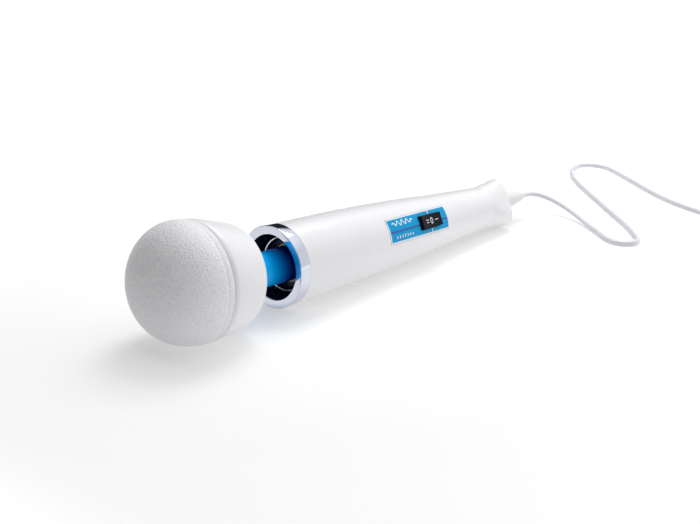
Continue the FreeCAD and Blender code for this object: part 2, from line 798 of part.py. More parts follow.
def bracket(name, start):
    """End bracket of the motor: a disc with a seat for the bush and holes for the two bolts."""
    disc = ring(name + "_disc", start, f"{start} + bracket_length", "0", "motor_radius")
    boss = ring(name + "_boss", f"{start} - 1", f"{start} + bracket_length + 1", "0",
                "bush_radius + 2")
    seat = rod(name + "_seat", f"{start} - 2", "0", "0", "bracket_length + 4", "bush_radius")
    holes = [
        rod(f"{name}_hole_{number}", f"{start} - 2", y, z, "bracket_length + 4",
            "motor_bolt_radius + fit_gap")
        for number, y, z in around(2, "motor_bolt_pitch", 90)
    ]
    vents = [
        rod(f"{name}_vent_{number}", f"{start} - 2", y, z, "bracket_length + 4", "2.4")
        for number, y, z in around(4, "11.4", 45)
    ]
    return keep(name, HANDLE, cut(name, fused(name + "_solid", disc, boss), seat, *holes, *vents))


bracket("front_motor_bracket", "front_bracket")
bracket("rear_motor_bracket", "rear_bracket")
for side, start in (("front", "front_bracket"), ("rear", "rear_bracket")):
    keep(f"{side}_motor_bush", HANDLE, ring(
        f"{side}_bush", f"{start} - 1", f"{start} - 1 + bush_length", "shaft_radius + 0.04",
        "bush_radius"))
keep("front_motor_mount", HANDLE, ring(
    "front_mount", "front_bracket", "front_bracket + bracket_length", "motor_radius", "19.6"))
keep("rear_motor_mount", HANDLE, ring(
    "rear_mount", "rear_bracket", "rear_bracket + bracket_length", "motor_radius", "18.3"))

keep("motor_shaft", HANDLE, ring(
    "motor_shaft", "neck_end - 9", "rear_bracket + 7", "0", "shaft_radius"))
keep("motor_bolts", HANDLE, together("motor_bolts", *[
    fused(f"motor_bolt_{number}",
          rod(f"bolt_shank_{number}", "front_bracket - 1", y, z,
              "rear_bracket - front_bracket + bracket_length + 2", "motor_bolt_radius"),
          rod(f"bolt_head_{number}", "front_bracket - 2.6", y, z, "2.5", "1.7"),
          rod(f"bolt_nut_{number}", "rear_bracket + bracket_length + 0.1", y, z, "2", "1.7"))
    for number, y, z in around(2, "motor_bolt_pitch", 90)
]))

field_end = "field_start + field_length"
field_ring = ring("field_ring", "field_start", field_end, "14.2", "motor_radius")
pole_span = ring("pole_span", "field_start", field_end, "field_bore", "14.3")
pole_block = block("pole_block", "field_start", "-7", "-15", "field_length", "14", "30")
field_bolt_holes = [
    rod(f"field_hole_{number}", "field_start - 1", y, z, "field_length + 2",
        "motor_bolt_radius + fit_gap")
    for number, y, z in around(2, "motor_bolt_pitch", 90)
]
keep("field_core", HANDLE, cut(
    "field_core", fused("field_solid", field_ring, common("field_poles", pole_span, pole_block)),
    *field_bolt_holes))
coil_span = ring("coil_span", "field_start - 3.6", "field_start + field_length + 3.6",
                 "field_bore + 0.3", "14")
coil_width = block("coil_width", "field_start - 4", "-10.5", "-15", "field_length + 8", "21", "30")
coil_gap = block("coil_gap", "field_start - 0.2", "-7.2", "-15", "field_length + 0.4", "14.4", "30")
keep("field_coils", HANDLE, cut(
    "field_coils", common("coil_solid", coil_span, coil_width), coil_gap))

armature_body, armature_sketch = new_body("armature", "YZ_Plane", [])
armature_sketch.addGeometry(Part.Circle(Vector(), Vector(0, 0, 1), value("armature_radius")))
armature_sketch.addGeometry(Part.Circle(Vector(), Vector(0, 0, 1), value("shaft_radius")))
for geometry, size in ((0, "armature_radius"), (1, "shaft_radius")):
    armature_sketch.addConstraint(Sketcher.Constraint("Coincident", geometry, 3, -1, 1))
    number = armature_sketch.addConstraint(Sketcher.Constraint("Radius", geometry, value(size)))
    armature_sketch.setExpression(f"Constraints[{number}]", bound(size))
tie(armature_sketch, AttachmentOffset__Base__z="field_start")
armature_pad = armature_body.newObject("PartDesign::Pad", "armature_pad")
armature_pad.Profile = armature_sketch
tie(armature_pad, Length="field_length")
slots = [
    rod(f"slot_{number}", "field_start - 1", y, z, "field_length + 2", "1.25")
    for number, y, z in around(DIMENSIONS["slot_count"], "armature_radius - 1.6")
]
keep("armature_core", HANDLE, cut("armature_core", armature_body, *slots))
winding_bars = [
    rod(f"winding_bar_{number}", "field_start - 1", y, z, "field_length + 2", "1.1")
    for number, y, z in around(DIMENSIONS["slot_count"], "armature_radius - 1.6")
]
winding_ends = [
    turned(f"winding_end_{side}", [
        (f"{start}", "4.2"), (f"{start}", "7.5"), (f"{start} + 1.8", "armature_radius - 0.4",
                                                   "out", "2.6"),
        (f"{start} + 3.8", "armature_radius - 0.4"), (f"{start} + 3.8", "4.2")])
    for side, start in (("front", "field_start - 4"), ("rear", "field_start + field_length + 0.2"))
]
keep("armature_windings", HANDLE, fused("armature_windings", *winding_ends, *winding_bars))

commutator_drum = ring("commutator_drum", "commutator_start",
                       "commutator_start + commutator_length", "shaft_radius",
                       "commutator_radius")
commutator_slits = [
    rod(f"slit_{number}", "commutator_start - 1", y, z, "commutator_length + 2", "0.25")
    for number, y, z in around(DIMENSIONS["slot_count"], "commutator_radius")
]
keep("commutator", HANDLE, cut("commutator", commutator_drum, *commutator_slits))

brush_station = "commutator_start + commutator_length / 2"


def brush_pieces(side, sign):
    """Brush, its holder and its spring on one side of the commutator, drawn along Y."""
    start = "commutator_radius + 0.05" if sign > 0 else "-commutator_radius - 0.05 - 5"
    brush = block(f"brush_{side}", f"{brush_station} - 1.5", start, "-2", "3", "5", "4")
    low = "7.5" if sign > 0 else "-7.5 - 8.5"
    holder = block(f"holder_{side}", f"{brush_station} - 2.4", low, "-2.9", "4.8", "8.5", "5.8")
    way = block(f"way_{side}", f"{brush_station} - 1.6", f"{low} - 1", "-2.1", "3.2", "9.5", "4.2")
    rest = Vector(value(brush_station), sign * 10.2, 0)
    return brush, cut(f"brush_holder_{side}", holder, way), spring(
        f"brush_spring_{side}", rest, Vector(0, sign, 0), 1.25, 0.22, 1, 5)


near_side, far_side = brush_pieces("near", 1), brush_pieces("far", -1)
for name, pair in zip(("carbon_brushes", "brush_holders", "brush_springs"),
                      zip(near_side, far_side)):
    keep(name, HANDLE, together(name, *pair))

fan_hub = ring("fan_hub", "fan_start", "fan_start + fan_length", "shaft_radius", "5")
fan_plate = ring("fan_plate", "fan_start", "fan_start + 1.2", "4.5", "fan_radius")


def fan_blade(number):
    """One flat blade that stands out from the fan's hub."""
    angle = number * 40
    blade = block(f"fan_blade_{number}", "fan_start + 1",
                  f"4.5 * cos({angle}) + 0.5 * sin({angle})",
                  f"4.5 * sin({angle}) - 0.5 * cos({angle})",
                  "fan_length - 1", "fan_radius - 5", "1")
    blade.Placement.Rotation = Rotation(Vector(1, 0, 0), angle)
    return blade


fan_blades = [fan_blade(number) for number in range(9)]
keep("cooling_fan", HANDLE, fused("cooling_fan", fan_hub, fan_plate, *fan_blades))


# ---------------------------------------------------------------- electrical parts

keep("circuit_board", HANDLE, together(
    "circuit_board", block("board", "183", "-9", "-8.4", "48", "18", "1.4")))
diode_body = rod("diode_body", "190", "4.6", "-5.4", "5", "1.4")
diode_legs = rod("diode_legs", "186", "4.6", "-5.4", "13", "0.35")
keep("speed_diode", HANDLE, fused("speed_diode", diode_body, diode_legs))
keep("noise_capacitor", HANDLE, together(
    "noise_capacitor", block("capacitor", "222.5", "-6", "-6.9", "7", "12", "9")))
keep("thermal_fuse", HANDLE, fused(
    "thermal_fuse", rod("fuse_body", "196", "-5.2", "-5.5", "8", "1.3"),
    rod("fuse_legs", "190", "-5.2", "-5.5", "20", "0.35")))

clamp_base = block("cord_clamp_base", "262", "-5.5", "-9.5", "12", "11", "7.7")
clamp_bar = block("cord_clamp_bar", "264", "-5.5", "1.75", "8", "11", "2.5")
clamp_taps = [
    rod(f"clamp_tap_{number}", "268", y, "-8", "14", "0.95", "Z")
    for number, y in enumerate(("-3.8", "3.8"))
]
keep("cord_clamp", HANDLE, cut(
    "cord_clamp", together("cord_clamp_pair", clamp_base, clamp_bar), *clamp_taps))
keep("cord_clamp_screws", HANDLE, together("cord_clamp_screws", *[
    fused(f"clamp_screw_{number}",
          rod(f"clamp_shank_{number}", "268", y, "-6", "10.4", "0.9", "Z"),
          rod(f"clamp_head_{number}", "268", y, "4.3", "1.4", "1.6", "Z"))
    for number, y in enumerate(("-3.8", "3.8"))
]))
keep("inner_cord", HANDLE, ring("inner_cord", "258", "relief_start", "0", "cord_radius"))

keep("strain_relief", HANDLE, turned("strain_relief", [
    ("relief_start", "0"),
    ("relief_start", "relief_radius - 0.9"),
    ("relief_start + 3", "relief_radius - 0.9"),
    ("relief_start + 3", "cord_hole - fit_gap"),
    ("relief_face + fit_gap", "cord_hole - fit_gap"),
    ("relief_face + fit_gap", "relief_radius"),
    ("relief_face + 14", "relief_radius - 0.4"),
    ("relief_end", "relief_tip_radius"),
    ("relief_end", "0"),
]))


# ---------------------------------------------------------------- wires and lead

WIRE_RADIUS = 0.8
wire_routes = [
    [(257.5, 1.2, 0), (249, 1.6, 1.6), (241, 2.6, 4), (232, 2.8, 5.2), (224, 2.2, 4.2),
     (218, 1.4, 1.2), (212.6, 0.6, -0.4)],
    [(257.5, -1.2, 0), (249, -2.4, -1), (240, -5.4, -2.6), (231, -8.6, -3.2), (221, -9.6, -3.4),
     (211, -9, -3.2), (203, -6.2, -2.2), (198.1, -1.6, -0.8)],
    [(184, 4.6, -5.9), (178.5, 5.2, -6.1), (171, 8.06, -8.06), (159, 8.06, -8.06),
     (154.5, 8.8, -4.2)],
    [(184, -4.6, -5.9), (178.5, -5.2, -6.1), (171, -8.06, -8.06), (159, -8.06, -8.06),
     (154.5, -8.8, -4.2)],
]
wires = document.addObject("Part::Feature", "lead_wires")
wires.Shape = Part.Compound([
    bar_along([Vector(*point) for point in route], WIRE_RADIUS)[0] for route in wire_routes
])
keep("lead_wires", HANDLE, wires)

cord_start = HANDLE.multVec(Vector(value("relief_end"), 0, 0))
CORD_ROUTE = [
    (181.1, 0.0, 15.1), (189.8, -7.8, 12.0), (190.6, -21.0, 7.8), (184.0, -36.0, 4.4),
    (173.0, -51.0, 2.4), (161.0, -66.0, 1.7), (151.2, -78.4, 1.7), (149.2, -88.8, 1.7),
    (155.6, -97.0, 1.7), (166.2, -97.6, 1.7), (174.8, -89.2, 1.7), (189.2, -73.4, 1.7),
    (214.2, -49.0, 1.7), (239.2, -25.5, 1.7), (264.2, -1.5, 1.9), (285.0, 18.0, 2.2),
    (304.0, 32.5, 2.4), (320.0, 41.5, 2.4), (334.0, 45.5, 2.2), (345.0, 47.0, 2.0),
    (353.0, 41.0, 1.8), (354.5, 30.5, 1.7), (349.5, 20.0, 1.7), (336.0, 4.0, 1.7),
    (318.0, -16.5, 1.7), (297.5, -39.0, 1.7), (279.0, -62.0, 1.7), (265.0, -85.5, 1.7),
    (255.5, -109.0, 1.7),
]
coil_edge = value("coil_centre_x - coil_radius - (coil_columns - 1) * cord_radius")
coil_west = Vector(coil_edge, value("coil_centre_y"), value("cord_radius"))
cord_solid, cord_length, cord_radii = bar_along(
    [cord_start] + [Vector(*point) for point in CORD_ROUTE] + [coil_west], value("cord_radius"))
print("cord: length", round(cord_length, 1), "start", cord_start,
      "radii", [round(radius, 1) for radius in cord_radii])
power_cord = document.addObject("Part::Feature", "power_cord")
power_cord.Shape = cord_solid
keep("power_cord", TABLE, power_cord)

coil_half = "coil_columns * cord_radius"
coil_ring = document.addObject("Part::Cylinder", "coil_ring")
tie(coil_ring, Radius=f"coil_radius + {coil_half}", Height="2 * coil_layers * cord_radius",
    Placement__Base__x="coil_centre_x", Placement__Base__y="coil_centre_y")
coil_hole = document.addObject("Part::Cylinder", "coil_hole")
tie(coil_hole, Radius=f"coil_radius - {coil_half}", Height="2 * coil_layers * cord_radius",
    Placement__Base__x="coil_centre_x", Placement__Base__y="coil_centre_y")
keep("cord_coil", TABLE, cut("cord_coil", coil_ring, coil_hole))


# ---------------------------------------------------------------- plug

PLUG_LEAD_ROUTE = [
    (272.7, -151.8, 11.9), (284.0, -151.8, 11.6), (295.0, -151.2, 9.4), (306.0, -150.3, 7.0),
    (317.0, -150.0, 6.5), (328.0, -150.0, 6.5),
]
plug_lead = document.addObject("Part::Feature", "plug_lead")
plug_lead.Shape, lead_length, lead_radii = bar_along(
    [Vector(*point) for point in PLUG_LEAD_ROUTE], value("cord_radius"))
print("plug lead: length", round(lead_length, 1), "radii", [round(radius, 1) for radius in lead_radii])
keep("plug_lead", TABLE, plug_lead)

PLUG = Placement(Vector(*PLUG_LEAD_ROUTE[-1]), Rotation())
plug_grip = turned("plug_grip", [
    ("0", "0"), ("0", "relief_tip_radius"), ("plug_taper", "plug_grip_radius"),
    ("plug_taper + 4", "plug_grip_radius"), ("plug_taper + 4", "0")])
plug_block = block("plug_block", "plug_taper", "-plug_width / 2", "-plug_height / 2",
                   "plug_length", "plug_width", "plug_height")
keep("plug_body", PLUG, fused("plug_body", plug_grip, plug_block))
keep("plug_blades", PLUG, together("plug_blades", *[
    block(f"plug_blade_{number}", "plug_taper + plug_length", f"{side} * blade_spacing / 2 - 0.75",
          "-3.2", "blade_length", "1.5", "6.4")
    for number, side in enumerate((-1, 1))
]))


# ---------------------------------------------------------------- checks and files

problems = []
document.recompute()
for name, (thing, frame) in subparts.items():
    if frame is not TABLE:
        thing.Placement = frame
document.recompute()
for thing in document.Objects:
    if "Invalid" in thing.State or "Error" in thing.State:
        problems.append(f"{thing.Name}: {thing.State}")
for name, (thing, frame) in subparts.items():
    shape = thing.Shape
    if shape.isNull() or not shape.isValid() or not shape.Solids:
        problems.append(f"{name}: no valid shape")
if problems:
    raise SystemExit("\n".join(problems))

os.makedirs("parts", exist_ok=True)
for name, (thing, frame) in subparts.items():
    thing.Shape.exportStep(f"parts/{name}.step")
whole = Part.Compound([thing.Shape for name, (thing, frame) in subparts.items()
                       if frame not in (TABLE, PLUG)])
print("nodes", len(subparts), "box", whole.BoundBox, "handle tilt", round(handle_tilt, 3),
      "pivot", pivot)
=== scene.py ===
"""Wand massager on a white table: looks, lead, lights and camera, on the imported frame."""

import json
import math

import bmesh
import bpy
from mathutils import Matrix, Vector


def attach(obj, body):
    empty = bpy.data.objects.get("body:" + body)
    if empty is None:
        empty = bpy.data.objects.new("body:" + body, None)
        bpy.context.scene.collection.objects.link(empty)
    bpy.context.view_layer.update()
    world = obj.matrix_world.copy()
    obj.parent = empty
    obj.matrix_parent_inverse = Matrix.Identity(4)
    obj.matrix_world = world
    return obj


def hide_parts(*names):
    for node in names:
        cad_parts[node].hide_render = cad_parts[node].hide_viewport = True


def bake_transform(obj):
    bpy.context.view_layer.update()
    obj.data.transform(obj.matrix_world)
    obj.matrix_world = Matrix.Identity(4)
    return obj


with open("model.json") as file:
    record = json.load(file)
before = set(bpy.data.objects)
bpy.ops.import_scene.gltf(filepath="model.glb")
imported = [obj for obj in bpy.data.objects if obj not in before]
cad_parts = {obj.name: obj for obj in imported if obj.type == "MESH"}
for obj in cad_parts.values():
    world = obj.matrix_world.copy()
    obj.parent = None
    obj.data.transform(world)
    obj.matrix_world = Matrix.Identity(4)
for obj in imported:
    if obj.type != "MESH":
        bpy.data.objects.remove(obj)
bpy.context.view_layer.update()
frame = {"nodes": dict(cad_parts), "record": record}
NODES = frame["nodes"]
MM = 0.001

# ---------------------------------------------------------------- frames of the head and the handle

ORIGIN_STATION = 171.1
NECK_MIDDLE = 76.0
PIVOT = Vector((NECK_MIDDLE - ORIGIN_STATION, 0.0, 25.404))
HEAD_TILT = math.radians(7.5)
HANDLE_TILT = math.radians(2.108)
HANDLE_ROLL = math.radians(65)
NECK_HALF_BEND = 11.0


def about_pivot(tilt, roll=0.0):
    """Places a point given as (station, across, up) in millimetres in the row frame, in metres."""
    turn = Matrix.Rotation(tilt, 4, "Y") @ Matrix.Rotation(roll, 4, "X")
    return (Matrix.Scale(MM, 4) @ Matrix.Translation(PIVOT) @ turn
            @ Matrix.Translation((-NECK_MIDDLE, 0, 0)))


HEAD = about_pivot(HEAD_TILT)
HANDLE = about_pivot(HANDLE_TILT, HANDLE_ROLL)
AXLE = about_pivot(HANDLE_TILT)


# ---------------------------------------------------------------- node materials

NOISE_ROUGHNESS = 0.55


class Nodes:
    """A node tree and the nodes that are used in it again and again."""

    def __init__(self, tree, place):
        self.tree = tree
        self.place = tree.nodes.new("ShaderNodeTexCoord").outputs[place]

    def node(self, kind, **inputs):
        made = self.tree.nodes.new("ShaderNode" + kind)
        for key, value in inputs.items():
            name = key.replace("_", " ")
            socket = made.inputs[int(name[1:])] if name[0] == "#" else made.inputs[name]
            self.feed(socket, value)
        return made

    def feed(self, socket, value):
        if isinstance(value, bpy.types.NodeSocket):
            self.tree.links.new(value, socket)
        else:
            socket.default_value = value

    def noise(self, scale, detail=3.0):
        return self.node("TexNoise", Vector=self.place, Scale=scale, Detail=detail,
                         Roughness=NOISE_ROUGHNESS).outputs["Fac"]

    def cells(self, scale, place):
        return self.node("TexVoronoi", Vector=place, Scale=scale).outputs["Distance"]

    def spread(self, value, low, high, bottom, top):
        """A value's range from low to high spread to bottom to top."""
        made = self.node("MapRange", Value=value)
        for name, number in (("From Min", low), ("From Max", high),
                             ("To Min", bottom), ("To Max", top)):
            made.inputs[name].default_value = number
        return made.outputs["Result"]

    def math(self, operation, first, second):
        made = self.tree.nodes.new("ShaderNodeMath")
        made.operation = operation
        self.feed(made.inputs[0], first)
        self.feed(made.inputs[1], second)
        return made.outputs[0]

    def mix(self, factor, first, second):
        """Blend of two colours."""
        made = self.tree.nodes.new("ShaderNodeMix")
        made.data_type = "RGBA"
        self.feed(made.inputs[0], factor)
        for socket, colour in ((made.inputs[6], first), (made.inputs[7], second)):
            self.feed(socket, (*colour, 1) if isinstance(colour, tuple) else colour)
        return made.outputs[2]

    def axes(self):
        """The three components of the place."""
        return self.node("SeparateXYZ", Vector=self.place).outputs


class Shade(Nodes):
    """A material made of nodes, with a Principled shader at its end."""

    def __init__(self, name, colour, roughness, **settings):
        self.material = bpy.data.materials.new(name)
        self.material.use_nodes = True
        super().__init__(self.material.node_tree, "Object")
        self.shader = self.tree.nodes["Principled BSDF"]
        self.shader.inputs["Base Color"].default_value = (*colour, 1)
        self.shader.inputs["Roughness"].default_value = roughness
        for key, value in settings.items():
            self.shader.inputs[key.replace("_", " ")].default_value = value

    def colour(self, value):
        self.feed(self.shader.inputs["Base Color"], value)
        return self

    def rough(self, value):
        self.feed(self.shader.inputs["Roughness"], value)
        return self

    def bump(self, height, distance, strength=1.0):
        """Relief of the surface: distance is the depth in metres."""
        earlier = self.shader.inputs["Normal"]
        made = self.node("Bump", Height=height, Distance=distance, Strength=strength)
        if earlier.is_linked:
            self.tree.links.new(earlier.links[0].from_socket, made.inputs["Normal"])
        self.feed(earlier, made.outputs["Normal"])
        return self


def plastic(name, colour, roughness, grain, depth, drift=0.03, **settings):
    """Moulded plastic: faint drift of colour and gloss and a fine grain."""
    shade = Shade(name, colour, roughness, **settings)
    dark = tuple(part * (1 - drift) for part in colour)
    shade.colour(shade.mix(shade.spread(shade.noise(38), 0.3, 0.7, 0, 1), dark, colour))
    shade.rough(shade.spread(shade.noise(160), 0.3, 0.7, roughness * 0.9, roughness * 1.12))
    shade.bump(shade.noise(grain, 2.0), depth)
    return shade.material


def metal(name, colour, roughness, grain=2600, depth=0.00001, drift=0.08):
    """Bare metal with a fine turned or cast grain."""
    shade = Shade(name, colour, roughness, Metallic=1.0)
    dark = tuple(part * (1 - drift) for part in colour)
    shade.colour(shade.mix(shade.spread(shade.noise(420), 0.3, 0.7, 0, 1), dark, colour))
    shade.rough(shade.spread(shade.noise(900), 0.3, 0.7, roughness * 0.8, roughness * 1.25))
    shade.bump(shade.noise(grain), depth)
    return shade.material


def head_vinyl():
    """Soft white vinyl with a pebbled leather grain."""
    shade = Shade("head_vinyl", (0.75, 0.75, 0.76), 0.5)
    warp_reach = 0.0011
    pebble_depth = 0.00042
    warp = shade.node("TexNoise", Vector=shade.place, Scale=620.0, Detail=2.0)
    bent = shade.node("VectorMath", **{"#0": shade.place})
    scaled = shade.node("VectorMath", **{"#0": warp.outputs["Color"]})
    scaled.operation = "SCALE"
    scaled.inputs["Scale"].default_value = warp_reach
    shade.tree.links.new(scaled.outputs[0], bent.inputs[1])
    pebbles = shade.cells(1050.0, bent.outputs[0])
    fine = shade.noise(1500.0, 3.0)
    height = shade.math("ADD", shade.math("MULTIPLY", pebbles, -0.8),
                        shade.math("MULTIPLY", fine, 0.6))
    low, high = (0.76, 0.765, 0.79), (0.87, 0.87, 0.88)
    shade.colour(shade.mix(shade.spread(height, -0.4, 0.2, 0, 1), low, high))
    shade.rough(shade.spread(height, -0.4, 0.2, 0.6, 0.44))
    shade.bump(height, pebble_depth, 0.85)
    return shade.material


def neck_rubber():
    """Azure blue rubber; painted shade darkens it from the head to dark blue in the collar, standing
    in for the ring's shade.
    """
    # The dark blue end colour is painted shade, not the rubber's own colour.
    azure, painted_shade_navy = (0.0, 0.48, 1.0), (0.0, 0.002, 0.34)
    azure_end, full_shade_start = -0.099, -0.078
    shade = Shade("blue_sleeve", (0.0, 0.3, 0.9), 0.22, Specular_IOR_Level=0.2)
    along = shade.axes()[0]
    # Painted shade: the sleeve darkens along the neck towards the collar, where the ring shades it.
    painted_shade = shade.spread(along, azure_end, full_shade_start, 0, 1)
    drift = shade.spread(shade.noise(60), 0.3, 0.7, -0.05, 0.05)
    shade.colour(shade.mix(shade.math("ADD", painted_shade, drift), azure, painted_shade_navy))
    shade.rough(shade.spread(shade.noise(160), 0.3, 0.7, 0.2, 0.27))
    shade.bump(shade.noise(700, 2.0), 0.00001)
    return shade.material


MATERIALS = {
    "head_vinyl": head_vinyl(),
    "white_cover": plastic("white_cover", (0.83, 0.83, 0.84), 0.34, 900, 0.00002),
    "white_shell": plastic("white_shell", (0.84, 0.84, 0.85), 0.24, 1100, 0.000012,
                           Coat_Weight=0.15, Coat_Roughness=0.12),
    "core_plastic": plastic("core_plastic", (0.72, 0.72, 0.7), 0.5, 1300, 0.00003),
    "chrome_trim": metal("chrome_trim", (0.66, 0.68, 0.77), 0.05, 1500, 0.000002, 0.02),
    "dark_collar": plastic("dark_collar", (0.001, 0.003, 0.03), 0.16, 300, 0.000001,
                           Specular_IOR_Level=0.12),
    "blue_sleeve": neck_rubber(),
    "steel": metal("steel", (0.6, 0.6, 0.61), 0.28),
    "weight_steel": metal("weight_steel", (0.34, 0.34, 0.35), 0.5, 1600, 0.00006),
    "coupling_rubber": plastic("coupling_rubber", (0.02, 0.02, 0.02), 0.6, 1500, 0.00006, 0.2),
    "label_film": plastic("label_film", (0.0, 0.33, 0.65), 0.35, 1600, 0.000004, 0.04,
                          Specular_IOR_Level=0.12),
    "switch_black": plastic("switch_black", (0.003, 0.003, 0.012), 0.4, 1500, 0.00001, 0.2,
                            Specular_IOR_Level=0.16),
    "terminal_brass": metal("terminal_brass", (0.78, 0.6, 0.3), 0.25),
    "copper": metal("copper", (0.7, 0.3, 0.13), 0.35, 1400, 0.0001),
    "carbon": plastic("carbon", (0.03, 0.03, 0.032), 0.55, 2200, 0.00004, 0.2),
    "motor_alloy": metal("motor_alloy", (0.66, 0.66, 0.67), 0.42, 1300, 0.00005),
    "lamination_steel": metal("lamination_steel", (0.3, 0.31, 0.33), 0.45, 1800, 0.00004),
    "mount_rubber": plastic("mount_rubber", (0.025, 0.025, 0.025), 0.7, 1500, 0.00005, 0.2),
    "bronze": metal("bronze", (0.55, 0.38, 0.18), 0.4),
    "fan_plastic": plastic("fan_plastic", (0.1, 0.1, 0.1), 0.45, 1500, 0.00003, 0.1),
    "board": plastic("board", (0.36, 0.25, 0.12), 0.5, 1700, 0.00003, 0.15),
    "part_dark": plastic("part_dark", (0.03, 0.03, 0.03), 0.4, 1700, 0.00003, 0.1),
    "capacitor_yellow": plastic("capacitor_yellow", (0.7, 0.5, 0.07), 0.35, 1200, 0.00002),
    "wire_vinyl": plastic("wire_vinyl", (0.08, 0.08, 0.08), 0.45, 1200, 0.00002, 0.1),
    "relief_vinyl": plastic("relief_vinyl", (0.78, 0.78, 0.77), 0.42, 1000, 0.00003),
    "cord_vinyl": plastic("cord_vinyl", (0.72, 0.72, 0.77), 0.4, 900, 0.00003, 0.05),
    "print_white": plastic("print_white", (0.82, 0.88, 0.92), 0.3, 1500, 0.000006),
    "print_navy": plastic("print_navy", (0.004, 0.10, 0.38), 0.25, 1500, 0.000006),
}
for entry in frame["record"]["subparts"]:
    for part_slot in NODES[entry["node"]].material_slots:
        part_slot.material = MATERIALS[entry["material_slot"]]


# ---------------------------------------------------------------- mesh helpers

SHARP_ANGLE = math.radians(38)


def piece(name, mesh, slot_name, look=None, smooth=True):
    """Object of a finished mesh, with its material: the look's, or else the slot's."""
    mesh.name = name
    thing = bpy.data.objects.new(name, mesh)
    bpy.context.scene.collection.objects.link(thing)
    mesh.materials.append(MATERIALS[look or slot_name])
    if smooth:
        mesh.shade_smooth()
        mesh.set_sharp_from_angle(angle=SHARP_ANGLE)
    return thing


def from_bmesh(built):
    bmesh.ops.recalc_face_normals(built, faces=built.faces)
    mesh = bpy.data.meshes.new("mesh")
    built.to_mesh(mesh)
    built.free()
    return mesh


def arc(centre, radius, start, end, steps):
    """Points of a circle in the plane of station and radius, angles in degrees."""
    points = []
    for step in range(steps + 1):
        angle = math.radians(start + (end - start) * step / steps)
        points.append((centre[0] + radius * math.cos(angle), centre[1] + radius * math.sin(angle)))
    return points


def arc_centre(start, end, radius):
    """Centre of an arc between two points that bulges away from the axis."""
    chord = end - start
    inwards = Vector((chord.y, -chord.x)).normalized()
    return (start + end) / 2 + inwards * math.sqrt(radius ** 2 - (chord.length / 2) ** 2)


def bowed(start, end, radius, steps=20):
    """Arc of a radius between two points, bulging away from the axis."""
    start, end = Vector(start), Vector(end)
    centre = arc_centre(start, end, radius)
    first, last = (math.atan2(spot.y - centre.y, spot.x - centre.x) for spot in (start, end))
    return arc(centre, radius, math.degrees(first), math.degrees(last), steps)


def softened(corners, steps=6):
    """Outline of corners (station, radius, rounding) with each corner rounded off."""
    points = []
    for before, corner, after in zip(corners[-1:] + corners, corners, corners[1:] + corners[:1]):
        here = Vector(corner[:2])
        if len(corner) < 3:
            points.append(tuple(here))
            continue
        back = Vector(before[:2]) - here
        ahead = Vector(after[:2]) - here
        half = back.angle(ahead) / 2
        trim = min(corner[2] / math.tan(half), 0.48 * back.length, 0.48 * ahead.length)
        start, end = here + back.normalized() * trim, here + ahead.normalized() * trim
        for step in range(steps + 1):
            t = step / steps
            points.append(tuple(start * (1 - t) ** 2 + here * 2 * t * (1 - t) + end * t * t))
    return points


def lathe(outline, placed, segments=192, closed=True):
    """Mesh turned about the axis of a frame. The outline is closed unless it ends on the axis."""
    built = bmesh.new()
    rings = []
    for station, radius in outline:
        if radius < 1e-4:
            rings.append([built.verts.new(placed @ Vector((station, 0, 0)))])
            continue
        rings.append([
            built.verts.new(placed @ Vector((station, radius * math.cos(turn),
                                             radius * math.sin(turn))))
            for turn in (2 * math.pi * side / segments for side in range(segments))
        ])
    pairs = list(zip(rings, rings[1:])) + ([(rings[-1], rings[0])] if closed else [])
    for first, second in pairs:
        for side in range(segments):
            following = (side + 1) % segments
            if len(first) == 1:
                built.faces.new((first[0], second[side], second[following]))
            elif len(second) == 1:
                built.faces.new((first[side], second[0], first[following]))
            else:
                built.faces.new((first[side], second[side], second[following],
                                 first[following]))
    return from_bmesh(built)


# ---------------------------------------------------------------- head

LEAN = math.tan(math.radians(3.2))
LEAN_MIDDLE, LEAN_REACH = 31.0, 27.0
DROP = math.tan(HEAD_TILT)


def leaned(mesh):
    """Leans the groove and the skins beside it forwards at the top; the nose and the neck stay."""
    back = HEAD.inverted()
    for vertex in mesh.vertices:
        station, across, up = back @ vertex.co
        reach = min(abs(station - LEAN_MIDDLE) / LEAN_REACH, 1)
        shift = -LEAN * up * (1 - reach ** 2) ** 2
        vertex.co = HEAD @ Vector((station + shift, across, up + max(shift, 0) * DROP))
    return mesh


NOSE_RADIUS = 39.4
SHOULDER_RADIUS = 25
NOSE_MEETS_SHOULDER = 153.63
nose = arc((NOSE_RADIUS, 0), NOSE_RADIUS, 180, NOSE_MEETS_SHOULDER, 20)
shoulder = arc((26.5, 6.4), SHOULDER_RADIUS, NOSE_MEETS_SHOULDER, 90, 28)
crease = [(26.2, 31.38), (26.6, 31.22), (27.0, 31.1), (27.4, 31.22), (27.9, 31.38), (28.6, 31.4)]
lip = arc((29.4, 29.0), 2.4, 90, 12, 10)
head_cover = piece("head_cover", leaned(lathe(
    nose + shoulder[1:-1] + crease + lip + [(31.72, 28.6), (31.72, 26.5), (26.5, 26.5), (5.4, 0)],
    HEAD, closed=False)), "head_vinyl")
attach(head_cover, "head")
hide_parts("head_cushion")

back_lip = [(31.8, 26.5), (31.8, 29.3), (31.95, 30.0), (32.4, 30.6), (33.2, 30.98)]
back_rim = softened([(60.5, 18.5), (60.5, 10.35, 0.5), (57.5, 10.35, 0.4), (57.4, 17.0)])
head_back = piece("head_back", leaned(lathe(
    back_lip + bowed((34.4, 31.1), (52.5, 27.6), 150) + bowed((52.5, 27.6), (60.5, 18.5), 9.5)[1:]
    + back_rim[1:] + [(50.0, 24.4), (34.0, 26.5)], HEAD)), "white_cover")
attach(head_back, "head")
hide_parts("head_rear_cover")


# ---------------------------------------------------------------- neck sleeve

